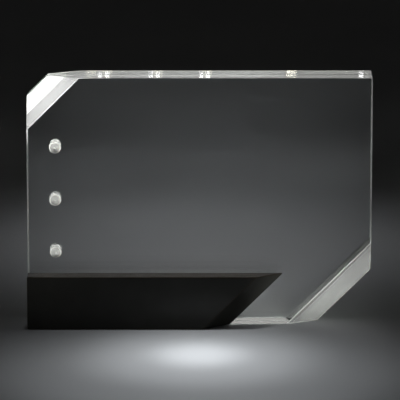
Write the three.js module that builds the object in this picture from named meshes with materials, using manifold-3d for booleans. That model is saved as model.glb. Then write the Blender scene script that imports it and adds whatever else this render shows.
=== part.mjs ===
// A clear photo frame: two thick acrylic plates, one behind the other, with a print held between
// them. Pairs of magnets sunk in the plates' inner faces hold them together, and a black bar
// taped to the front plate makes the foot deeper.
// Millimetres. +X is the viewer's right, +Y the back and +Z up. The origin is on the table, in
// the middle of the frame's width and depth.

import * as THREE from 'three';
import { ConvexGeometry } from 'three/addons/geometries/ConvexGeometry.js';
import { mergeVertices } from 'three/addons/utils/BufferGeometryUtils.js';
import Module from 'manifold-3d';

const wasm = await Module();
wasm.setup();

// Plates
const PLATE_WIDTH = 184;
const PLATE_HEIGHT = 135;
const PLATE_THICKNESS = 10;
const PRINT_GAP = 0.25; // left between the plates for a paper print

// Sloping cuts across the top left and bottom right corners, measured along a plate's edges
const TOP_CUT = 28; // on the outer face
const FOOT_CUT = 45; // on the outer face
const CUT_RUN = 16.75; // by how much both are shorter on the inner face
const CUT_LAND = 2; // square strip that both leave along the inner face

// Black bar along the foot, with a slanting end that runs beside the foot cut
const BAR_THICKNESS = 10;
const BAR_HEIGHT = 28.75;
const BAR_TO_FOOT_CUT = 30.5; // clear strip between the two slants, along the table
const BAR_END_RUN = 14.5; // by how much the bar is shorter on its front face

// Double-sided tape behind the bar
const TAPE_THICKNESS = 1;
const TAPE_INSET = 2; // from the bar's edges

// Magnets, in an upright row beside the left edge, each glued to the bottom of a blind hole
const MAGNET_PLACES = ['bottom', 'middle', 'top'];
const MAGNET_DIAMETER = 6;
const MAGNET_LENGTH = 6;
const MAGNET_FROM_EDGE = 15;
const MAGNET_ABOVE_BAR = 10.5; // lowest magnet's centre over the bar
const MAGNET_BELOW_CUT = 10.5; // highest magnet's centre under the top cut
const MAGNET_CLEARANCE = 0.1; // all round, in its hole
const GLUE_THICKNESS = 0.25;
const ROUND_SIDES = 48;
const HOLE_OVERCUT = 1; // how far the cutter starts outside the inner face

// Where each layer starts, from the front to the back
const depth = BAR_THICKNESS + TAPE_THICKNESS + 2 * PLATE_THICKNESS + PRINT_GAP;
const barFront = -depth / 2;
const barBack = barFront + BAR_THICKNESS;
const frontPlateInner = barBack + TAPE_THICKNESS + PLATE_THICKNESS;
const rearPlateInner = frontPlateInner + PRINT_GAP;

// Places shared by several pieces
const leftEdge = -PLATE_WIDTH / 2;
const rightEdge = PLATE_WIDTH / 2;
const barFootEnd = rightEdge - FOOT_CUT - BAR_TO_FOOT_CUT;
const magnetX = leftEdge + MAGNET_FROM_EDGE;
const lowestMagnet = BAR_HEIGHT + MAGNET_ABOVE_BAR;
const highestMagnet = PLATE_HEIGHT - TOP_CUT - MAGNET_BELOW_CUT;
const magnetPitch = (highestMagnet - lowestMagnet) / (MAGNET_PLACES.length - 1);
const magnetHeights = MAGNET_PLACES.map((place, i) => lowestMagnet + i * magnetPitch);
const holeDepth = MAGNET_LENGTH + GLUE_THICKNESS;

const clearAcrylic = new THREE.MeshStandardMaterial({
  color: 0xe6eceb,
  roughness: 0.06,
  metalness: 0,
  transparent: true,
  opacity: 0.32,
});
const blackAcrylic = new THREE.MeshStandardMaterial({ color: 0x11110f, roughness: 0.12, metalness: 0 });
const nickel = new THREE.MeshStandardMaterial({ color: 0xc9c8c2, roughness: 0.28, metalness: 1 });
const clearTape = new THREE.MeshStandardMaterial({
  color: 0xdfe3e2,
  roughness: 0.4,
  metalness: 0,
  transparent: true,
  opacity: 0.5,
});
const clearGlue = new THREE.MeshStandardMaterial({
  color: 0xd8d9d2,
  roughness: 0.3,
  metalness: 0,
  transparent: true,
  opacity: 0.6,
});

// A closed geometry as a solid that can be cut
function toSolid(geometry) {
  const bare = geometry.clone();
  bare.deleteAttribute('normal');
  bare.deleteAttribute('uv');
  const merged = mergeVertices(bare);
  const vertProperties = new Float32Array(merged.attributes.position.array);
  const triVerts = new Uint32Array(merged.index.array);
  return new wasm.Manifold(new wasm.Mesh({ numProp: 3, vertProperties, triVerts }));
}

// A cut solid as a geometry again
function toGeometry(solid) {
  const mesh = solid.getMesh();
  const geometry = new THREE.BufferGeometry();
  geometry.setAttribute('position', new THREE.BufferAttribute(mesh.vertProperties, 3));
  geometry.setIndex(new THREE.BufferAttribute(mesh.triVerts, 1));
  geometry.computeVertexNormals();
  return geometry;
}

function namedMesh(name, geometry, material) {
  const mesh = new THREE.Mesh(geometry, material);
  mesh.name = name;
  return mesh;
}

// A round piece with its axis along Y
function roundBar(diameter, length) {
  return new THREE.CylinderGeometry(diameter / 2, diameter / 2, length, ROUND_SIDES);
}

// A plate's six corners at one depth, for cuts of the given size
function plateCorners(y, topCut, footCut) {
  return [
    new THREE.Vector3(leftEdge, y, 0),
    new THREE.Vector3(rightEdge - footCut, y, 0),
    new THREE.Vector3(rightEdge, y, footCut),
    new THREE.Vector3(rightEdge, y, PLATE_HEIGHT),
    new THREE.Vector3(leftEdge + topCut, y, PLATE_HEIGHT),
    new THREE.Vector3(leftEdge, y, PLATE_HEIGHT - topCut),
  ];
}

// The bar's four corners at one depth, ending at footEnd on the table. The end leans at 45 degrees,
// so the bar is longer at the top by its own height.
function barCorners(y, footEnd) {
  return [
    new THREE.Vector3(leftEdge, y, 0),
    new THREE.Vector3(footEnd, y, 0),
    new THREE.Vector3(footEnd + BAR_HEIGHT, y, BAR_HEIGHT),
    new THREE.Vector3(leftEdge, y, BAR_HEIGHT),
  ];
}

// One plate with its inner face at y = 0, reaching away from it to the given side
function makePlate(side) {
  const innerCuts = [TOP_CUT - CUT_RUN, FOOT_CUT - CUT_RUN];
  const blank = new ConvexGeometry([
    ...plateCorners(side * PLATE_THICKNESS, TOP_CUT, FOOT_CUT),
    ...plateCorners(side * CUT_LAND, ...innerCuts),
    ...plateCorners(0, ...innerCuts),
  ]);
  const cutter = roundBar(MAGNET_DIAMETER + 2 * MAGNET_CLEARANCE, holeDepth + HOLE_OVERCUT);
  let plate = toSolid(blank);
  for (const z of magnetHeights) {
    const hole = cutter.clone().translate(magnetX, side * (holeDepth - HOLE_OVERCUT) / 2, z);
    plate = plate.subtract(toSolid(hole));
  }
  return toGeometry(plate);
}

// One half of the frame: a plate, its magnets and the glue at the bottom of each hole
function makeHalf(label, side) {
  const half = new THREE.Group();
  half.add(namedMesh(`${label}_plate`, makePlate(side), clearAcrylic));
  MAGNET_PLACES.forEach((place, i) => {
    const z = magnetHeights[i];
    const magnet = namedMesh(`${label}_magnet_${place}`, roundBar(MAGNET_DIAMETER, MAGNET_LENGTH), nickel);
    magnet.position.set(magnetX, side * MAGNET_LENGTH / 2, z);
    const glue = namedMesh(`${label}_glue_${place}`, roundBar(MAGNET_DIAMETER, GLUE_THICKNESS), clearGlue);
    glue.position.set(magnetX, side * (MAGNET_LENGTH + GLUE_THICKNESS / 2), z);
    half.add(magnet, glue);
  });
  return half;
}

function makeBar() {
  const bar = new ConvexGeometry([
    ...barCorners(0, barFootEnd - BAR_END_RUN),
    ...barCorners(BAR_THICKNESS, barFootEnd),
  ]);
  return namedMesh('foot_bar', bar, blackAcrylic);
}

// The tape keeps the same distance from every edge of the bar's back face
function makeTape() {
  const top = BAR_HEIGHT - TAPE_INSET;
  const slant = barFootEnd - TAPE_INSET * Math.SQRT2;
  const outline = new THREE.Shape([
    new THREE.Vector2(leftEdge + TAPE_INSET, TAPE_INSET),
    new THREE.Vector2(slant + TAPE_INSET, TAPE_INSET),
    new THREE.Vector2(slant + top, top),
    new THREE.Vector2(leftEdge + TAPE_INSET, top),
  ]);
  const tape = new THREE.ExtrudeGeometry(outline, { depth: TAPE_THICKNESS, bevelEnabled: false });
  tape.rotateX(Math.PI / 2);
  tape.translate(0, TAPE_THICKNESS, 0);
  return namedMesh('bar_tape', tape, clearTape);
}

const frontHalf = makeHalf('front', -1);
frontHalf.position.y = frontPlateInner;

const rearHalf = makeHalf('rear', 1);
rearHalf.position.y = rearPlateInner;

const bar = makeBar();
bar.position.y = barFront;

const tape = makeTape();
tape.position.y = barBack;

const photoFrame = new THREE.Group();
photoFrame.name = 'photo_frame';
photoFrame.add(frontHalf, rearHalf, bar, tape);

export default photoFrame;
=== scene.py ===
"""A clear photo frame: two thick acrylic plates held together by sunk magnets, on a black foot bar.

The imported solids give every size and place. This script softens their edges, finishes their surfaces
and sets them on a pale floor under soft light.
"""

import math

import bmesh
import bpy
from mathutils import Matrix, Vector


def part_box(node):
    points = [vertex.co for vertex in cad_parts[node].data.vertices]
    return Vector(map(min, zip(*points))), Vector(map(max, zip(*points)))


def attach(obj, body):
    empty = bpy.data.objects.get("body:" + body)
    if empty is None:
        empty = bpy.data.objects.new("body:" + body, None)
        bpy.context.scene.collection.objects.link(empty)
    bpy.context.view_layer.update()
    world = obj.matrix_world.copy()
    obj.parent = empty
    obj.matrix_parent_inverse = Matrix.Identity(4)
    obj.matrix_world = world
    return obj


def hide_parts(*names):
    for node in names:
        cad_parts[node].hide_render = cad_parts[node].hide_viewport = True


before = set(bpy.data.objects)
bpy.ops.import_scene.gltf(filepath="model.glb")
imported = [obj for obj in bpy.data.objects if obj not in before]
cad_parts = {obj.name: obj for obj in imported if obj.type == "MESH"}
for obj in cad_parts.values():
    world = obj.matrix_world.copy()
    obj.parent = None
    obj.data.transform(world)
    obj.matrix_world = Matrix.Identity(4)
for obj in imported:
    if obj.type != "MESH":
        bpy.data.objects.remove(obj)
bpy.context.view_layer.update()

# Sizes in metres
ARRIS = 0.00035  # the small bevel that takes the sharpness off every sawn edge
BAR_ARRIS = 0.0004
TAPE_ARRIS = 0.00015
HOLE_CLEARANCE = 0.0001  # between a magnet and its hole, all round
MOUTH_CHAMFER = 0.0002  # at the mouth of a magnet's hole
BORE_RIM = 0.0004  # the ring that the drill's corner leaves round the bottom of a hole
PIP_RADIUS = 0.0007  # the mark of the drill's point
PIP_DEPTH = 0.00025
MAGNET_EDGE = 0.0003  # rounding of the plated edges
BOND_GAP = 0.00002  # left between faces that are glued, so that no two of them coincide
GLUE_INSET = 0.0002  # from a magnet's side to the mean edge of its glue
GLUE_WAVER = 0.0005  # how much that edge wanders
FLOOR_GAP = 0.0003  # air left under the frame, so that its lower edges still look like edges
FLOOR_SIZE = 30.0
TOUCHING = 1e-6  # points this close count as one

# Fineness of the meshes
ARRIS_STEPS = 2
MOUTH_STEPS = 1
MAGNET_MESH = (48, 16, 4)  # sides, rings along the rod, rings on each end
GLUE_MESH = (40, 2, 5)

# What tells the faces and edges of a solid apart
SHARP_TURN = math.radians(15)  # least turn at an edge that is softened
FLAT_TURN = math.radians(0.5)  # largest turn between faces that are merged
LEANING = 0.2  # least part of a face's normal along an axis that the face leans to
CUT_LEANING = 0.05  # the same for the narrow bevels beside a slanted cut
FACING = 0.98  # least part along Y of a broad face's normal
WALL_FACING = 0.9  # largest part along Y of the normal of a hole's wall or mouth
RIM_MARGIN = 1.02  # a hole's rim counts as part of it, up to this many radii

BODIES = {"front": "front_half", "rear": "rear_half"}
MAGNET_PLACES = ("bottom", "middle", "top")

# Optics of the acrylic and of what bonds it
ACRYLIC_IOR = 1.49
GLUE_IOR = 1.47
ABSORB_TINT = (0.82, 0.85, 0.81, 1.0)
ABSORB_DENSITY = 1.0
CUT_CLEARNESS = {"front": (0.8, 0.78), "rear": (0.75, 0.87)}  # of the top and foot cuts of each half
ARRIS_CLEARNESS = 0.6
GLUE_CLEARNESS = 0.5
TAPE_CLEARNESS = 0.85
BLACK_GLOSS = 0.12
SHADOW_VEIL = (0.93, 0.94, 0.935, 1.0)  # what one clear surface leaves of a lamp's light

# Spans that noises and effects run over
STREAKS = (0.3, 0.75)
LINES = (0.35, 0.65)
WHOLE = (0.0, 1.0)

# The photograph's view: a long lens, a little over two metres away and above the frame
IMAGE_SIDE_PX = 400
FOCAL_PX = 3951.0
SENSOR_WIDTH = 36.0
CAMERA_DISTANCE = 2.050  # in front of the front plate's outer face
CAMERA_HEIGHT = 0.5625
CAMERA_ASIDE = 0.00036
CAMERA_PITCH = math.radians(13.546)
CAMERA_REACH = 100.0

# Brightness of the studio by the height of a direction: from and to height, from and to level
WALL_RISE = (0.10, 0.195, 0.02, 0.66)
WALL_SINK = (0.215, 0.25, 1.0, 0.62)
WALL_END = (0.28, 0.36, 1.0, 0.012)
ROOM_FADE = (0.10, 0.20, 0.05, 0.002)
WALL_SPAN = (0.82, 0.96)  # how far to the back a direction points where the lit wall begins and is full
WALL_COLOUR = (1.0, 0.995, 0.965, 1.0)

# Colours of the lights
WHITE = (1.0, 1.0, 1.0)
COOL = (0.93, 0.965, 1.0)
WARM = (1.0, 0.97, 0.80)

# Pools of light on the floor before the frame: place along Y, watts
FRONT_POOLS = ((-0.32, 26.0), (-0.42, 10.8), (-0.60, 16.1))
FRONT_POOL_HEIGHT = 1.20
FRONT_POOL_LEAN = 0.015  # how far before its pool a lamp hangs

# Small lamps over the front magnets: what each aims at, from a magnet's centre, and where it hangs
MAGNET_LIGHT_AIM = Vector((0.0, 0.0005, 0.0003))
MAGNET_LIGHT_AWAY = Vector((0.0, -0.0475, 0.088))

# Small far lamps that glint along the top edge: place along X, and watts of the flat ones
GLINTS = (-0.0530, -0.0490, -0.0258, -0.0222, 0.0008, 0.0044, 0.0857)
ARCS = ((-0.0575, 1.6e-6), (-0.0489, 1.1e-6), (-0.0221, 1.1e-6), (0.0043, 1.1e-6), (0.0489, 3.6e-6))
GLINT_FAN = 1.4866  # how many times farther apart the lamps are than their glints
GLINT_AWAY = 1.0
GLINT_HEIGHT = 0.3434
ARC_HEIGHT = 0.3393


# Node helpers, for shaders and geometry alike

def feed(tree, socket, value):
    if isinstance(value, bpy.types.NodeSocket):
        tree.links.new(value, socket)
    else:
        socket.default_value = value


def add_node(tree, kind, inputs=None, **settings):
    node = tree.nodes.new(kind)
    for name, value in settings.items():
        setattr(node, name, value)
    for name, value in (inputs or {}).items():
        feed(tree, node.inputs[name], value)
    return node


def math_node(tree, operation, a, b=0.0, c=0.0):
    return add_node(tree, "ShaderNodeMath", {0: a, 1: b, 2: c}, operation=operation).outputs[0]


def map_range(tree, value, from_low, from_high, to_low, to_high, ease="LINEAR"):
    sockets = {
        "Value": value,
        "From Min": from_low,
        "From Max": from_high,
        "To Min": to_low,
        "To Max": to_high,
    }
    node = add_node(tree, "ShaderNodeMapRange", sockets, interpolation_type=ease)
    return node.outputs["Result"]


def mix_colour(tree, factor, a, b):
    """A colour between two, each given as a socket or as red, green and blue."""
    node = add_node(tree, "ShaderNodeMix", data_type="RGBA")
    for name, value in (("Factor_Float", factor), ("A_Color", a), ("B_Color", b)):
        if isinstance(value, tuple):
            value = (*value, 1.0)
        feed(tree, next(s for s in node.inputs if s.identifier == name), value)
    return next(s for s in node.outputs if s.identifier == "Result_Color")


def split(tree, vector):
    return add_node(tree, "ShaderNodeSeparateXYZ", {"Vector": vector}).outputs


def joined(tree, x, y, z):
    return add_node(tree, "ShaderNodeCombineXYZ", {"X": x, "Y": y, "Z": z}).outputs["Vector"]


def noise(tree, vector, scale, detail=2.0, roughness=0.5):
    sockets = {"Vector": vector, "Scale": scale, "Detail": detail, "Roughness": roughness}
    return add_node(tree, "ShaderNodeTexNoise", sockets).outputs["Fac"]


# Shared surface effects, each a node group

def effect(name, inputs, outputs):
    """An empty shader group, with the sockets that lead in and out of it."""
    tree = bpy.data.node_groups.new(name, "ShaderNodeTree")
    for label, kind in inputs.items():
        tree.interface.new_socket(label, in_out="INPUT", socket_type=kind)
    for label in outputs:
        tree.interface.new_socket(label, in_out="OUTPUT", socket_type="NodeSocketFloat")
    return tree, add_node(tree, "NodeGroupInput").outputs, add_node(tree, "NodeGroupOutput").inputs


def saw_marks_effect():
    """Streaks that a saw and a polishing wheel leave along a cut edge, and its slow unevenness."""
    wave_scale = 90.0
    streak_share = 0.15  # of the streaks in the height
    sockets = {"Run": "NodeSocketVector", "Along": "NodeSocketFloat", "Across": "NodeSocketFloat"}
    tree, given, result = effect("saw_marks", sockets, ("Streaks", "Height"))
    run = split(tree, given["Run"])
    along = math_node(tree, "MULTIPLY", run["X"], given["Along"])
    across = math_node(tree, "MULTIPLY", run["Y"], given["Across"])
    streaks = noise(tree, joined(tree, along, across, 0.0), scale=1.0, detail=3.0)
    waves = noise(tree, given["Run"], wave_scale, detail=1.0)
    feed(tree, result["Streaks"], streaks)
    feed(tree, result["Height"], math_node(tree, "MULTIPLY_ADD", streaks, streak_share, waves))
    return tree


def smudges_effect():
    """Faint cloudy patches from handling, and hairline scratches."""
    hazy = (0.45, 0.75)
    scratched = (0.70, 0.78)
    hairline_stretch = 3000.0  # how many times longer than wide they are
    hairline_scale = 12.0
    sockets = {"Place": "NodeSocketVector", "Scale": "NodeSocketFloat"}
    tree, given, result = effect("smudges", sockets, ("Haze", "Hairlines"))
    haze = noise(tree, given["Place"], given["Scale"], detail=3.0)
    feed(tree, result["Haze"], map_range(tree, haze, *hazy, *WHOLE))
    place = split(tree, given["Place"])
    lean = math_node(tree, "ADD", place["X"], place["Z"])
    cross = math_node(tree, "SUBTRACT", place["X"], place["Z"])
    squeezed = joined(tree, math_node(tree, "MULTIPLY", lean, hairline_stretch), cross, place["Y"])
    hairlines = noise(tree, squeezed, hairline_scale, detail=1.0)
    feed(tree, result["Hairlines"], map_range(tree, hairlines, *scratched, *WHOLE))
    return tree


def mottle_effect():
    """Soft patches with a fine grain in them."""
    grainy = (0.30, 0.70)
    sockets = {label: "NodeSocketFloat" for label in ("Patch Scale", "Grain Scale")}
    tree, given, result = effect("mottle", {"Place": "NodeSocketVector", **sockets}, ("Patch", "Grain"))
    patch = noise(tree, given["Place"], given["Patch Scale"], roughness=0.6)
    grain = noise(tree, given["Place"], given["Grain Scale"])
    feed(tree, result["Patch"], map_range(tree, patch, *LINES, *WHOLE, "SMOOTHSTEP"))
    feed(tree, result["Grain"], map_range(tree, grain, *grainy, *WHOLE))
    return tree


SAW_MARKS = saw_marks_effect()
SMUDGES = smudges_effect()
MOTTLE = mottle_effect()


def place_effect(tree, group, inputs):
    node = tree.nodes.new("ShaderNodeGroup")
    node.node_tree = group
    for name, value in inputs.items():
        feed(tree, node.inputs[name], value)
    return node.outputs


def object_place(tree):
    return add_node(tree, "ShaderNodeTexCoord").outputs["Object"]


def surface_run(tree):
    return add_node(tree, "ShaderNodeUVMap", uv_map="surface_run").outputs["UV"]


def saw_marks(tree, along, across):
    return place_effect(tree, SAW_MARKS, {"Run": surface_run(tree), "Along": along, "Across": across})


def smudges(tree, scale):
    return place_effect(tree, SMUDGES, {"Place": object_place(tree), "Scale": scale})


def mottle(tree, patch_scale, grain_scale):
    scales = {"Patch Scale": patch_scale, "Grain Scale": grain_scale}
    return place_effect(tree, MOTTLE, {"Place": object_place(tree), **scales})


# Materials

def new_material(name):
    material = bpy.data.materials.new(name)
    material.use_nodes = True
    tree = material.node_tree
    tree.nodes.clear()
    output = add_node(tree, "ShaderNodeOutputMaterial")
    shader = add_node(tree, "ShaderNodeBsdfPrincipled")
    tree.links.new(shader.outputs["BSDF"], output.inputs["Surface"])
    return material, tree, shader


def new_clear_material(name):
    """A material of clear acrylic. Lamps shine through it, so that what is inside is lit."""
    material, tree, shader = new_material(name)
    output = tree.get_output_node("ALL")
    shader.inputs["Transmission Weight"].default_value = 1.0
    shader.inputs["IOR"].default_value = ACRYLIC_IOR
    absorption = add_node(tree, "ShaderNodeVolumeAbsorption")
    absorption.inputs["Color"].default_value = ABSORB_TINT
    absorption.inputs["Density"].default_value = ABSORB_DENSITY
    tree.links.new(absorption.outputs["Volume"], output.inputs["Volume"])
    lamp_ray = add_node(tree, "ShaderNodeLightPath").outputs["Is Shadow Ray"]
    veil = add_node(tree, "ShaderNodeBsdfTransparent", {"Color": SHADOW_VEIL}).outputs["BSDF"]
    either = add_node(tree, "ShaderNodeMixShader", {0: lamp_ray, 1: shader.outputs["BSDF"], 2: veil})
    tree.links.new(either.outputs["Shader"], output.inputs["Surface"])
    return material, tree, shader


def paint(tree, shader, colour):
    tree.links.new(colour, shader.inputs["Base Color"])


def roughen(tree, shader, value, span, low, high):
    """Lets the roughness go from low to high, as a value goes over its span."""
    tree.links.new(map_range(tree, value, *span, low, high), shader.inputs["Roughness"])


def bump(tree, shader, height, strength, distance):
    sockets = {"Height": height, "Strength": strength, "Distance": distance}
    node = add_node(tree, "ShaderNodeBump", sockets)
    tree.links.new(node.outputs["Normal"], shader.inputs["Normal"])


def make_clear_face():
    clean = (0.990, 0.991, 0.988)
    hazy = (0.978, 0.980, 0.975)
    haze_share = 0.25  # of the haze in the roughness
    material, tree, shader = new_clear_material("clear_face")
    marks = smudges(tree, scale=40.0)
    paint(tree, shader, mix_colour(tree, marks["Haze"], clean, hazy))
    haze = math_node(tree, "MULTIPLY", marks["Haze"], haze_share)
    rub = math_node(tree, "MAXIMUM", haze, marks["Hairlines"])
    roughen(tree, shader, rub, WHOLE, low=0.0, high=0.05)
    return material


def make_cut_edge():
    groove = (0.975, 0.975, 0.968)
    ridge = (0.992, 0.992, 0.986)
    material, tree, shader = new_clear_material("cut_edge")
    marks = saw_marks(tree, along=25.0, across=2600.0)
    paint(tree, shader, mix_colour(tree, marks["Streaks"], groove, ridge))
    roughen(tree, shader, marks["Streaks"], STREAKS, low=0.01, high=0.04)
    bump(tree, shader, marks["Height"], strength=0.02, distance=0.0005)
    return material


def make_sawn_cut(name, clearness):
    """The slope across a corner. It is buffed less than the straight edges, so fine lines stay on it."""
    groove = (0.84, 0.84, 0.825)
    ridge = (0.99, 0.99, 0.975)
    material, tree, shader = new_clear_material(name)
    shader.inputs["Transmission Weight"].default_value = clearness
    marks = saw_marks(tree, along=40.0, across=900.0)
    lines = map_range(tree, marks["Streaks"], *LINES, *WHOLE)
    paint(tree, shader, mix_colour(tree, lines, groove, ridge))
    roughen(tree, shader, marks["Streaks"], STREAKS, low=0.04, high=0.15)
    bump(tree, shader, marks["Height"], strength=0.12, distance=0.0004)
    return material


def make_scraped_arris():
    """The narrow bevel along every sawn edge, left dull by the scraper, so that it catches light."""
    groove = (0.86, 0.87, 0.85)
    ridge = (0.95, 0.95, 0.94)
    material, tree, shader = new_clear_material("scraped_arris")
    shader.inputs["Transmission Weight"].default_value = ARRIS_CLEARNESS
    marks = saw_marks(tree, along=400.0, across=4000.0)
    paint(tree, shader, mix_colour(tree, marks["Streaks"], groove, ridge))
    roughen(tree, shader, marks["Streaks"], STREAKS, low=0.30, high=0.50)
    return material


def make_bore_wall():
    groove = (0.78, 0.79, 0.76)
    ridge = (0.96, 0.96, 0.94)
    chalky = (0.92, 0.92, 0.90)
    material, tree, shader = new_material("drilled_wall")
    marks = saw_marks(tree, along=120.0, across=5200.0)
    spots = mottle(tree, patch_scale=500.0, grain_scale=3000.0)
    ringed = mix_colour(tree, marks["Streaks"], groove, ridge)
    paint(tree, shader, mix_colour(tree, spots["Grain"], ringed, chalky))
    shader.inputs["IOR"].default_value = ACRYLIC_IOR
    roughen(tree, shader, spots["Patch"], WHOLE, low=0.35, high=0.6)
    bump(tree, shader, marks["Streaks"], strength=0.3, distance=0.0001)
    return material


def make_bore_bottom(radius):
    """The bottom of a hole: dark where the glue wets it, with the drill's rings, a pale rim that is a
    painted highlight, and a dot.
    """
    wet_dark = (0.016, 0.016, 0.015)
    wet_light = (0.078, 0.078, 0.074)
    ring = (0.145, 0.145, 0.137)
    dot = (0.16, 0.16, 0.151)
    # Painted highlight: a pale ring round the edge of the hole's bottom
    rim_highlight = (0.55, 0.55, 0.52)
    ring_scale = 14.0
    ring_share = 0.5
    dot_fade = (0.12, 0.26)  # shares of the radius
    rim_highlight_fade = (0.78, 0.9)
    material, tree, shader = new_material("drilled_bottom")
    run = surface_run(tree)
    spots = mottle(tree, patch_scale=700.0, grain_scale=2600.0)
    distance = add_node(tree, "ShaderNodeVectorMath", {0: run}, operation="LENGTH").outputs["Value"]
    out = math_node(tree, "DIVIDE", distance, radius)
    ring_place = joined(tree, math_node(tree, "MULTIPLY", out, ring_scale), 0.0, 0.0)
    swirl = noise(tree, ring_place, scale=1.0, detail=1.0)
    wet = mix_colour(tree, spots["Patch"], wet_dark, wet_light)
    scored = mix_colour(tree, map_range(tree, swirl, *LINES, 0.0, ring_share), wet, ring)
    # Paints the highlight ring near the edge of the bottom
    at_rim_highlight = map_range(tree, out, *rim_highlight_fade, 0.0, 1.0, "SMOOTHSTEP")
    at_dot = map_range(tree, out, *dot_fade, 1.0, 0.0, "SMOOTHSTEP")
    dotted = mix_colour(tree, at_dot, scored, dot)
    paint(tree, shader, mix_colour(tree, at_rim_highlight, dotted, rim_highlight))
    shader.inputs["IOR"].default_value = ACRYLIC_IOR
    roughen(tree, shader, spots["Grain"], WHOLE, low=0.35, high=0.6)
    bump(tree, shader, spots["Grain"], strength=0.3, distance=0.0001)
    return material


def make_black_face():
    clean = (0.022, 0.022, 0.019)
    hazy = (0.028, 0.028, 0.025)
    material, tree, shader = new_material("black_face")
    marks = smudges(tree, scale=60.0)
    paint(tree, shader, mix_colour(tree, marks["Haze"], clean, hazy))
    shader.inputs["IOR"].default_value = ACRYLIC_IOR
    shader.inputs["Specular IOR Level"].default_value = BLACK_GLOSS
    rub = math_node(tree, "MAXIMUM", marks["Haze"], marks["Hairlines"])
    roughen(tree, shader, rub, WHOLE, low=0.10, high=0.20)
    return material


def make_black_edge():
    groove = (0.018, 0.012, 0.006)
    ridge = (0.026, 0.018, 0.010)
    sheen = (1.0, 0.93, 0.82, 1.0)
    material, tree, shader = new_material("black_edge")
    marks = saw_marks(tree, along=20.0, across=2200.0)
    paint(tree, shader, mix_colour(tree, marks["Streaks"], groove, ridge))
    shader.inputs["IOR"].default_value = ACRYLIC_IOR
    shader.inputs["Specular IOR Level"].default_value = BLACK_GLOSS
    shader.inputs["Specular Tint"].default_value = sheen
    roughen(tree, shader, marks["Streaks"], STREAKS, low=0.22, high=0.40)
    bump(tree, shader, marks["Height"], strength=0.15, distance=0.0003)
    return material


def make_nickel():
    dark = (0.60, 0.58, 0.54)
    light = (0.76, 0.74, 0.70)
    material, tree, shader = new_material("nickel_plate")
    spots = mottle(tree, patch_scale=400.0, grain_scale=2500.0)
    paint(tree, shader, mix_colour(tree, spots["Grain"], dark, light))
    shader.inputs["Metallic"].default_value = 1.0
    roughen(tree, shader, spots["Patch"], WHOLE, low=0.14, high=0.30)
    bump(tree, shader, spots["Grain"], strength=0.1, distance=0.00005)
    return material


def make_set_glue():
    cloudy = (0.55, 0.55, 0.51)
    clear = (0.88, 0.88, 0.84)
    material, tree, shader = new_material("set_glue")
    spots = mottle(tree, patch_scale=900.0, grain_scale=4000.0)
    paint(tree, shader, mix_colour(tree, spots["Patch"], cloudy, clear))
    shader.inputs["Transmission Weight"].default_value = GLUE_CLEARNESS
    shader.inputs["IOR"].default_value = GLUE_IOR
    roughen(tree, shader, spots["Grain"], WHOLE, low=0.1, high=0.4)
    return material


def make_clear_tape():
    cloudy = (0.72, 0.74, 0.73)
    clear = (0.90, 0.91, 0.90)
    material, tree, shader = new_material("clear_tape")
    spots = mottle(tree, patch_scale=260.0, grain_scale=1400.0)
    paint(tree, shader, mix_colour(tree, spots["Patch"], cloudy, clear))
    shader.inputs["Transmission Weight"].default_value = TAPE_CLEARNESS
    shader.inputs["IOR"].default_value = GLUE_IOR
    roughen(tree, shader, spots["Grain"], WHOLE, low=0.1, high=0.3)
    return material


def make_pale_floor():
    dark = (0.61, 0.617, 0.625)
    light = (0.64, 0.645, 0.65)
    material, tree, shader = new_material("pale_floor")
    spots = mottle(tree, patch_scale=6.0, grain_scale=900.0)
    paint(tree, shader, mix_colour(tree, spots["Patch"], dark, light))
    shader.inputs["Specular IOR Level"].default_value = 0.0
    roughen(tree, shader, spots["Grain"], WHOLE, low=0.55, high=0.7)
    return material


# Mesh helpers

def bench_copy(node):
    """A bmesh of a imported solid, with its loose triangles merged and its flat faces whole again."""
    work = bmesh.new()
    work.from_mesh(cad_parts[node].data)
    bmesh.ops.remove_doubles(work, verts=work.verts, dist=TOUCHING)
    bmesh.ops.dissolve_limit(work, angle_limit=FLAT_TURN, verts=work.verts, edges=work.edges)
    return work


def soften(work, edges, size, steps=ARRIS_STEPS):
    """Bevels edges, and gives the new faces."""
    cut = bmesh.ops.bevel(work, geom=edges, offset=size, segments=steps, profile=0.5, affect="EDGES")
    return cut["faces"]


def is_sharp(edge):
    return len(edge.link_faces) == 2 and edge.calc_face_angle(0.0) > SHARP_TURN


def is_slanted(face):
    """Whether a face cuts off a corner."""
    return abs(face.normal.x) > LEANING and abs(face.normal.z) > LEANING


def lay_run(face, runs):
    """Lays the run of a cut edge over a face: u goes along the cut, v across it."""
    along = Vector((1, 0, 0)) if abs(face.normal.x) < LEANING else Vector((0, 0, 1))
    if is_slanted(face):
        along = Vector((1, 0, math.copysign(1, -face.normal.x * face.normal.z))).normalized()
    across = face.normal.cross(along)
    for loop in face.loops:
        loop[runs].uv = (loop.vert.co.dot(along), loop.vert.co.dot(across))


def piece_from(work, name, materials):
    mesh = bpy.data.meshes.new(name)
    work.normal_update()
    work.to_mesh(mesh)
    work.free()
    piece = bpy.data.objects.new(name, mesh)
    bpy.context.scene.collection.objects.link(piece)
    for material in materials:
        mesh.materials.append(material)
    return piece


def settle(piece, body, slot, *nodes):
    """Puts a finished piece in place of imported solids."""
    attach(piece, body)
    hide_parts(*nodes)


# Plates

def magnet_axes(half):
    """The centre of each magnet of one half, and the magnets' radius and length."""
    boxes = [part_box(f"{half}_magnet_{place}") for place in MAGNET_PLACES]
    centres = [(low + high) / 2 for low, high in boxes]
    size = boxes[0][1] - boxes[0][0]
    return centres, size.x / 2, size.y


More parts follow.
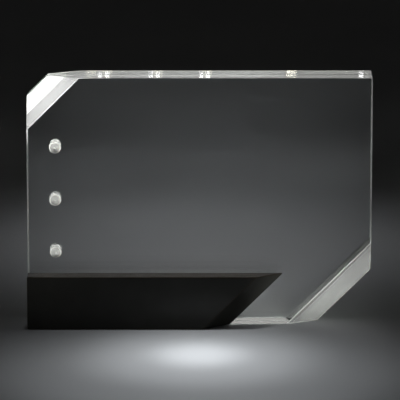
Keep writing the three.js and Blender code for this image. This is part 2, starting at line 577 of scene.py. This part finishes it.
def make_plate(half, finishes):
    """A plate with softened edges and drilled holes. The slots below give the order of its finishes."""
    face_slot, edge_slot, top_slot, foot_slot, arris_slot, wall_slot, bottom_slot = range(len(finishes))
    centres, magnet_radius, _ = magnet_axes(half)
    hole_radius = magnet_radius + HOLE_CLEARANCE
    node = f"{half}_plate"
    low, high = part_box(node)
    inner = high.y if half == "front" else low.y
    outward = -1.0 if half == "front" else 1.0
    work = bench_copy(node)

    def hole_at(point):
        """The centre of the hole that a point lies in or on the rim of, or None."""
        reach = hole_radius * RIM_MARGIN
        return next((c for c in centres if math.hypot(point.x - c.x, point.z - c.z) < reach), None)

    def on_inner_face(point):
        return abs(point.y - inner) < TOUCHING

    mouths = []
    outer_edges = []
    for edge in filter(is_sharp, work.edges):
        ends = [v.co for v in edge.verts]
        if not all(hole_at(p) for p in ends):
            outer_edges.append(edge)
        elif all(on_inner_face(p) for p in ends):
            mouths.append(edge)
    arrises = set(soften(work, outer_edges, ARRIS))
    soften(work, mouths, MOUTH_CHAMFER, MOUTH_STEPS)
    work.normal_update()

    bottoms = []
    runs = work.loops.layers.uv.new("surface_run")
    for face in work.faces:
        centre = face.calc_center_median()
        hole = hole_at(centre)
        lay_run(face, runs)
        if hole and abs(face.normal.y) < WALL_FACING:
            face.material_index = wall_slot
            face.smooth = True
            for loop in face.loops:
                arm = loop.vert.co - hole
                loop[runs].uv = (math.atan2(arm.z, arm.x) * hole_radius, arm.y)
        elif hole and not on_inner_face(centre):
            bottoms.append(face)
        elif face in arrises:
            along_cut = min(abs(face.normal.x), abs(face.normal.z)) > CUT_LEANING
            face.material_index = edge_slot if along_cut and half == "rear" else arris_slot
        elif abs(face.normal.y) > FACING:
            face.material_index = face_slot
        elif is_slanted(face):
            face.material_index = top_slot if face.normal.x < 0 else foot_slot
        else:
            face.material_index = edge_slot

    well_width = hole_radius - BORE_RIM - PIP_RADIUS
    for face in bottoms:
        hole = hole_at(face.calc_center_median())
        ring = bmesh.ops.inset_individual(work, faces=[face], thickness=BORE_RIM)["faces"]
        well = bmesh.ops.inset_individual(work, faces=[face], thickness=well_width)["faces"]
        tip = bmesh.ops.poke(work, faces=[face], offset=0.0)
        for vert in tip["verts"]:
            vert.co.y += outward * PIP_DEPTH
        for part in ring + well + tip["faces"]:
            part.material_index = bottom_slot
            for loop in part.loops:
                arm = loop.vert.co - hole
                loop[runs].uv = (arm.x, arm.z)

    piece = piece_from(work, f"{half}_plate_polished", finishes)
    settle(piece, BODIES[half], "clear_acrylic", node)


# Foot bar and its tape

def make_foot_bar(finishes):
    """The bar, with its faces and its end polished and its edges sawn."""
    face_slot, edge_slot = range(len(finishes))
    work = bench_copy("foot_bar")
    soften(work, list(filter(is_sharp, work.edges)), BAR_ARRIS)
    work.normal_update()
    runs = work.loops.layers.uv.new("surface_run")
    for face in work.faces:
        polished = abs(face.normal.y) > FACING or is_slanted(face)
        face.material_index = face_slot if polished else edge_slot
        lay_run(face, runs)
    settle(piece_from(work, "foot_bar_polished", finishes), BODIES["front"], "black_acrylic", "foot_bar")


def make_tape_strip(finish):
    low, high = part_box("bar_tape")
    middle = (low.y + high.y) / 2
    work = bench_copy("bar_tape")
    for vert in work.verts:
        vert.co.y += BOND_GAP if vert.co.y < middle else -BOND_GAP
    soften(work, list(filter(is_sharp, work.edges)), TAPE_ARRIS)
    settle(piece_from(work, "bar_tape_strip", [finish]), BODIES["front"], "clear_tape", "bar_tape")


# Magnets and glue, grown by Geometry Nodes on their places

def geometry_tree(name, inputs):
    """An empty tree, with the sockets that lead in and out of it. It grows a mesh on bare points."""
    tree = bpy.data.node_groups.new(name, "GeometryNodeTree")
    tree.interface.new_socket("Places", in_out="INPUT", socket_type="NodeSocketGeometry")
    for label, kind in inputs.items():
        tree.interface.new_socket(label, in_out="INPUT", socket_type=kind)
    tree.interface.new_socket("Mesh", in_out="OUTPUT", socket_type="NodeSocketGeometry")
    given = add_node(tree, "NodeGroupInput").outputs
    return tree, given, add_node(tree, "NodeGroupOutput").inputs["Mesh"]


def copies_on_places(tree, given, shape):
    sockets = {"Points": given["Places"], "Instance": shape}
    copies = add_node(tree, "GeometryNodeInstanceOnPoints", sockets).outputs["Instances"]
    return add_node(tree, "GeometryNodeRealizeInstances", {"Geometry": copies}).outputs[0]


def moved_to(tree, shape, position):
    return add_node(tree, "GeometryNodeSetPosition", {"Geometry": shape, "Position": position}).outputs[0]


def finish_tree(tree, given, result, shape):
    smooth = add_node(tree, "GeometryNodeSetShadeSmooth", {"Geometry": shape, "Shade Smooth": True})
    sockets = {"Geometry": smooth.outputs[0], "Material": given["Finish"]}
    tree.links.new(add_node(tree, "GeometryNodeSetMaterial", sockets).outputs[0], result)


def unit_rod(tree, sides, rings, fans):
    """A rod of radius 1 and length 2 along Z, and the parts of its points' places."""
    sockets = {
        "Vertices": sides,
        "Side Segments": rings,
        "Fill Segments": fans,
        "Radius": 1.0,
        "Depth": 2.0,
    }
    rod = add_node(tree, "GeometryNodeMeshCylinder", sockets).outputs["Mesh"]
    return rod, split(tree, add_node(tree, "GeometryNodeInputPosition").outputs["Position"])


def magnet_tree():
    """Rods along Y with rounded ends: a rod's outer quarters become the roundings of its two edges."""
    sizes = {label: "NodeSocketFloat" for label in ("Radius", "Length", "Edge")}
    tree, given, result = geometry_tree("magnet_row", {**sizes, "Finish": "NodeSocketMaterial"})
    rod, at = unit_rod(tree, *MAGNET_MESH)
    reach = math_node(tree, "MULTIPLY", math_node(tree, "ABSOLUTE", at["Z"]), 2.0)
    over = math_node(tree, "MAXIMUM", math_node(tree, "SUBTRACT", reach, 1.0), 0.0)
    turn = math_node(tree, "MULTIPLY", over, math.pi / 2)
    half_length = math_node(tree, "MULTIPLY", given["Length"], 0.5)
    shaft = math_node(tree, "SUBTRACT", half_length, given["Edge"])
    straight = math_node(tree, "MULTIPLY", math_node(tree, "MINIMUM", reach, 1.0), shaft)
    rounding = math_node(tree, "MULTIPLY", math_node(tree, "SINE", turn), given["Edge"])
    height = math_node(tree, "ADD", straight, rounding)
    rise = math_node(tree, "MULTIPLY", math_node(tree, "SIGN", at["Z"]), height)
    core = math_node(tree, "SUBTRACT", given["Radius"], given["Edge"])
    bulge = math_node(tree, "MULTIPLY", math_node(tree, "COSINE", turn), given["Edge"])
    girth = math_node(tree, "ADD", core, bulge)
    x = math_node(tree, "MULTIPLY", at["X"], girth)
    z = math_node(tree, "MULTIPLY", math_node(tree, "MULTIPLY", at["Y"], girth), -1.0)
    magnet = moved_to(tree, rod, joined(tree, x, rise, z))
    finish_tree(tree, given, result, copies_on_places(tree, given, magnet))
    return tree


def glue_tree():
    """Thin drops along Y whose edge wanders by a noise, so that no two are alike."""
    wander_scale = 500.0
    wander_middle = 0.5
    sizes = {label: "NodeSocketFloat" for label in ("Radius", "Thickness", "Waver", "Seed")}
    tree, given, result = geometry_tree("glue_drops", {**sizes, "Finish": "NodeSocketMaterial"})
    rod, at = unit_rod(tree, *GLUE_MESH)
    outward = joined(tree, at["X"], 0.0, math_node(tree, "MULTIPLY", at["Y"], -1.0))
    marked = add_node(
        tree,
        "GeometryNodeStoreNamedAttribute",
        {"Geometry": rod, "Name": "outward"},
        data_type="FLOAT_VECTOR",
        domain="POINT",
    )
    feed(tree, marked.inputs["Value"], outward)
    arm = split(tree, outward)
    x = math_node(tree, "MULTIPLY", arm["X"], given["Radius"])
    y = math_node(tree, "MULTIPLY", math_node(tree, "MULTIPLY", at["Z"], given["Thickness"]), 0.5)
    z = math_node(tree, "MULTIPLY", arm["Z"], given["Radius"])
    drop = moved_to(tree, marked.outputs[0], joined(tree, x, y, z))
    drops = copies_on_places(tree, given, drop)
    place = add_node(tree, "GeometryNodeInputPosition").outputs["Position"]
    wander = add_node(
        tree,
        "ShaderNodeTexNoise",
        {"Vector": place, "W": given["Seed"], "Scale": wander_scale},
        noise_dimensions="4D",
    )
    off_middle = math_node(tree, "SUBTRACT", wander.outputs["Fac"], wander_middle)
    amount = math_node(tree, "MULTIPLY", off_middle, given["Waver"])
    kept = add_node(tree, "GeometryNodeInputNamedAttribute", {"Name": "outward"}, data_type="FLOAT_VECTOR")
    push = add_node(tree, "ShaderNodeVectorMath", {0: kept.outputs["Attribute"]}, operation="SCALE")
    feed(tree, push.inputs["Scale"], amount)
    sockets = {"Geometry": drops, "Offset": push.outputs["Vector"]}
    finish_tree(tree, given, result, add_node(tree, "GeometryNodeSetPosition", sockets).outputs[0])
    return tree


def grow(name, places, tree, values):
    """Runs a tree on bare points, and keeps what grows as a plain mesh."""
    points = bpy.data.meshes.new(name)
    points.from_pydata(places, [], [])
    piece = bpy.data.objects.new(name, points)
    bpy.context.scene.collection.objects.link(piece)
    grower = piece.modifiers.new("grower", "NODES")
    grower.node_group = tree
    for socket in tree.interface.items_tree:
        if socket.in_out == "INPUT" and socket.name in values:
            grower[socket.identifier] = values[socket.name]
    grown = piece.evaluated_get(bpy.context.evaluated_depsgraph_get())
    mesh = bpy.data.meshes.new_from_object(grown)
    piece.modifiers.clear()
    piece.data = mesh
    mesh.name = name
    return piece


def make_magnets(half, tree, finish):
    centres, radius, length = magnet_axes(half)
    sizes = {"Radius": radius, "Length": length, "Edge": MAGNET_EDGE, "Finish": finish}
    piece = grow(f"{half}_magnets_plated", centres, tree, sizes)
    settle(piece, BODIES[half], "nickel", *[f"{half}_magnet_{place}" for place in MAGNET_PLACES])


def make_glue(half, seed, tree, finish):
    boxes = [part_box(f"{half}_glue_{place}") for place in MAGNET_PLACES]
    size = boxes[0][1] - boxes[0][0]
    sizes = {
        "Radius": size.x / 2 - GLUE_INSET - GLUE_WAVER / 2,
        "Thickness": size.y - 2 * BOND_GAP,
        "Waver": GLUE_WAVER,
        "Seed": seed,
        "Finish": finish,
    }
    piece = grow(f"{half}_glue_drops", [(low + high) / 2 for low, high in boxes], tree, sizes)
    settle(piece, BODIES[half], "clear_glue", *[f"{half}_glue_{place}" for place in MAGNET_PLACES])


# Stage

def make_floor(finish):
    work = bmesh.new()
    bmesh.ops.create_grid(work, x_segments=1, y_segments=1, size=FLOOR_SIZE / 2)
    bmesh.ops.translate(work, verts=work.verts, vec=(0, 0, -FLOOR_GAP))
    piece_from(work, "floor", [finish])


def make_world():
    """A dim studio with pale walls low down, and a lighter one at the back."""
    world = bpy.data.worlds.new("studio")
    world.use_nodes = True
    tree = world.node_tree
    tree.nodes.clear()
    way = split(tree, add_node(tree, "ShaderNodeTexCoord").outputs["Generated"])
    rising = map_range(tree, way["Z"], *WALL_RISE)
    sinking = map_range(tree, way["Z"], *WALL_SINK)
    ending = map_range(tree, way["Z"], *WALL_END)
    wall = math_node(tree, "MULTIPLY", rising, math_node(tree, "MULTIPLY", sinking, ending))
    room = map_range(tree, way["Z"], *ROOM_FADE)
    behind = map_range(tree, way["Y"], *WALL_SPAN, *WHOLE, "SMOOTHSTEP")
    room_share = math_node(tree, "MULTIPLY", room, math_node(tree, "SUBTRACT", 1.0, behind))
    level = math_node(tree, "ADD", math_node(tree, "MULTIPLY", wall, behind), room_share)
    glow = add_node(tree, "ShaderNodeBackground", {"Color": WALL_COLOUR, "Strength": level})
    output = add_node(tree, "ShaderNodeOutputWorld")
    tree.links.new(glow.outputs["Background"], output.inputs["Surface"])
    bpy.context.scene.world = world


def make_camera():
    plate_low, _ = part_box("front_plate")
    data = bpy.data.cameras.new("photo_view")
    data.sensor_width = SENSOR_WIDTH
    data.lens = FOCAL_PX / IMAGE_SIDE_PX * SENSOR_WIDTH
    data.clip_end = CAMERA_REACH
    camera = bpy.data.objects.new("photo_view", data)
    camera.location = (CAMERA_ASIDE, plate_low.y - CAMERA_DISTANCE, CAMERA_HEIGHT)
    camera.rotation_euler = (math.pi / 2 - CAMERA_PITCH, 0, 0)
    bpy.context.scene.collection.objects.link(camera)
    bpy.context.scene.camera = camera


def set_light_paths():
    """A ray can run the length of a clear plate between its faces, so it gets many turns."""
    scene = bpy.context.scene
    scene.cycles.max_bounces = 48
    scene.cycles.transmission_bounces = 40
    scene.cycles.glossy_bounces = 40
    scene.cycles.transparent_max_bounces = 24
    scene.cycles.diffuse_bounces = 4
    scene.view_settings.view_transform = "Standard"


# Lights

def hang_light(data, place, target):
    """Hangs a light. It isn't seen through clear acrylic, because it already shines through."""
    light = bpy.data.objects.new(data.name, data)
    light.location = place
    light.rotation_euler = (Vector(target) - Vector(place)).to_track_quat("-Z", "Y").to_euler()
    light.visible_transmission = False
    light.visible_camera = False
    bpy.context.scene.collection.objects.link(light)


def softbox(name, place, target, size, watts, spread, colour=WHITE):
    """A flat light that shines straight ahead, within its spread in degrees."""
    data = bpy.data.lights.new(name, "AREA")
    data.shape = "RECTANGLE"
    data.size, data.size_y = size
    data.energy = watts
    data.color = colour
    data.spread = math.radians(spread)
    hang_light(data, place, target)


def spot(name, place, target, radius, watts, reach, colour=WHITE):
    """A soft spot light. reach is how far from its target the light fades out."""
    data = bpy.data.lights.new(name, "SPOT")
    data.shadow_soft_size = radius
    data.energy = watts
    data.color = colour
    data.spot_size = 2 * math.atan(reach / (Vector(target) - Vector(place)).length)
    data.spot_blend = 1.0
    hang_light(data, place, target)


def light_frame():
    """Low soft light, gathered in pools on the floor and on the frame's edges and cuts."""
    softbox("key_left", (-1.032, -0.620, 0.756), (-0.08, 0, 0.124),
            size=(0.12, 0.12), watts=0.00095, spread=9.0)
    softbox("strip_above", (-0.022, 0.0, 0.90), (-0.022, 0.0, 0.0),
            size=(0.122, 0.012), watts=0.0020, spread=2.0)
    spot("pool_core", (0.0, -0.10, 1.10), (0.0, -0.064, 0.0),
         radius=0.012, watts=27.0, reach=0.030, colour=COOL)
    spot("pool_near", (0.0, -0.10, 1.10), (0.0, -0.070, 0.0),
         radius=0.02, watts=17.7, reach=0.070, colour=COOL)
    spot("pool_wide", (0.0, -0.12, 1.10), (0.0, -0.105, 0.0),
         radius=0.04, watts=13.5, reach=0.135, colour=COOL)
    spot("pool_behind", (0.0, 0.15, 1.0), (0.0, 0.17, 0.0),
         radius=0.04, watts=4.3, reach=0.17, colour=COOL)
    spot("front_fill", (0.0, -1.5, 0.12), (-0.03, 0.0, 0.02),
         radius=0.05, watts=2.0, reach=0.20)
    spot("right_fill", (0.55, -0.95, 0.03), (0.092, 0.0, 0.105),
         radius=0.02, watts=16.0, reach=0.06)
    spot("left_fill", (-0.55, -0.95, 0.075), (-0.087, 0.0, 0.064),
         radius=0.02, watts=10.5, reach=0.066)
    softbox("foot_fill", (0.55, -0.95, 0.024), (0.075, 0.0, 0.024),
            size=(0.08, 0.044), watts=0.0135, spread=2.0)
    spot("corner_fill", (0.25, -1.0, 0.03), (-0.083, 0.0, 0.127),
         radius=0.01, watts=160.0, reach=0.030)
    for number, (away, watts) in enumerate(FRONT_POOLS):
        place = (0.0, away - FRONT_POOL_LEAN, FRONT_POOL_HEIGHT)
        spot(f"pool_front_{number}", place, (0.0, away, 0.0),
             radius=0.04, watts=watts, reach=0.18, colour=COOL)


def light_magnets():
    """A small lamp for each front magnet, so that the wall of its hole shows as a bright crescent."""
    centres, _, _ = magnet_axes("front")
    for number, centre in enumerate(centres):
        aim = centre + MAGNET_LIGHT_AIM
        softbox(f"magnet_light_{number}", aim + MAGNET_LIGHT_AWAY, aim,
                size=(0.0056, 0.0076), watts=0.0048, spread=1.0)


def light_top_edge():
    """Small lamps far behind, which the top edge shows as glints."""
    _, plate_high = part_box("front_plate")
    for number, along in enumerate(GLINTS):
        place = (along * GLINT_FAN, GLINT_AWAY, GLINT_HEIGHT)
        softbox(f"far_lamp_{number}", place, (along, 0.0, plate_high.z),
                size=(0.0033, 0.0026), watts=1.6e-6, spread=20.0)
    for number, (along, watts) in enumerate(ARCS):
        place = (along * GLINT_FAN, GLINT_AWAY, ARC_HEIGHT)
        softbox(f"far_arc_{number}", place, (along, 0.0, plate_high.z),
                size=(0.0079, 0.0014), watts=watts, spread=20.0, colour=WARM)


# View, stage and lights
make_camera()
set_light_paths()
make_world()
make_floor(make_pale_floor())
light_frame()
light_magnets()
light_top_edge()

# Finishes of the plates
clear_face = make_clear_face()
cut_edge = make_cut_edge()
cuts = {
    half: [make_sawn_cut(f"{half}_top_cut", top), make_sawn_cut(f"{half}_foot_cut", foot)]
    for half, (top, foot) in CUT_CLEARNESS.items()
}
_, magnet_radius, _ = magnet_axes("front")
rest_of_plate = [
    make_scraped_arris(),
    make_bore_wall(),
    make_bore_bottom(magnet_radius + HOLE_CLEARANCE),
]

# Pieces
make_foot_bar([make_black_face(), make_black_edge()])
make_tape_strip(make_clear_tape())
magnets = magnet_tree()
nickel = make_nickel()
drops = glue_tree()
set_glue = make_set_glue()
for seed, half in enumerate(BODIES):
    make_plate(half, [clear_face, cut_edge] + cuts[half] + rest_of_plate)
    make_magnets(half, magnets, nickel)
    make_glue(half, seed, drops, set_glue)
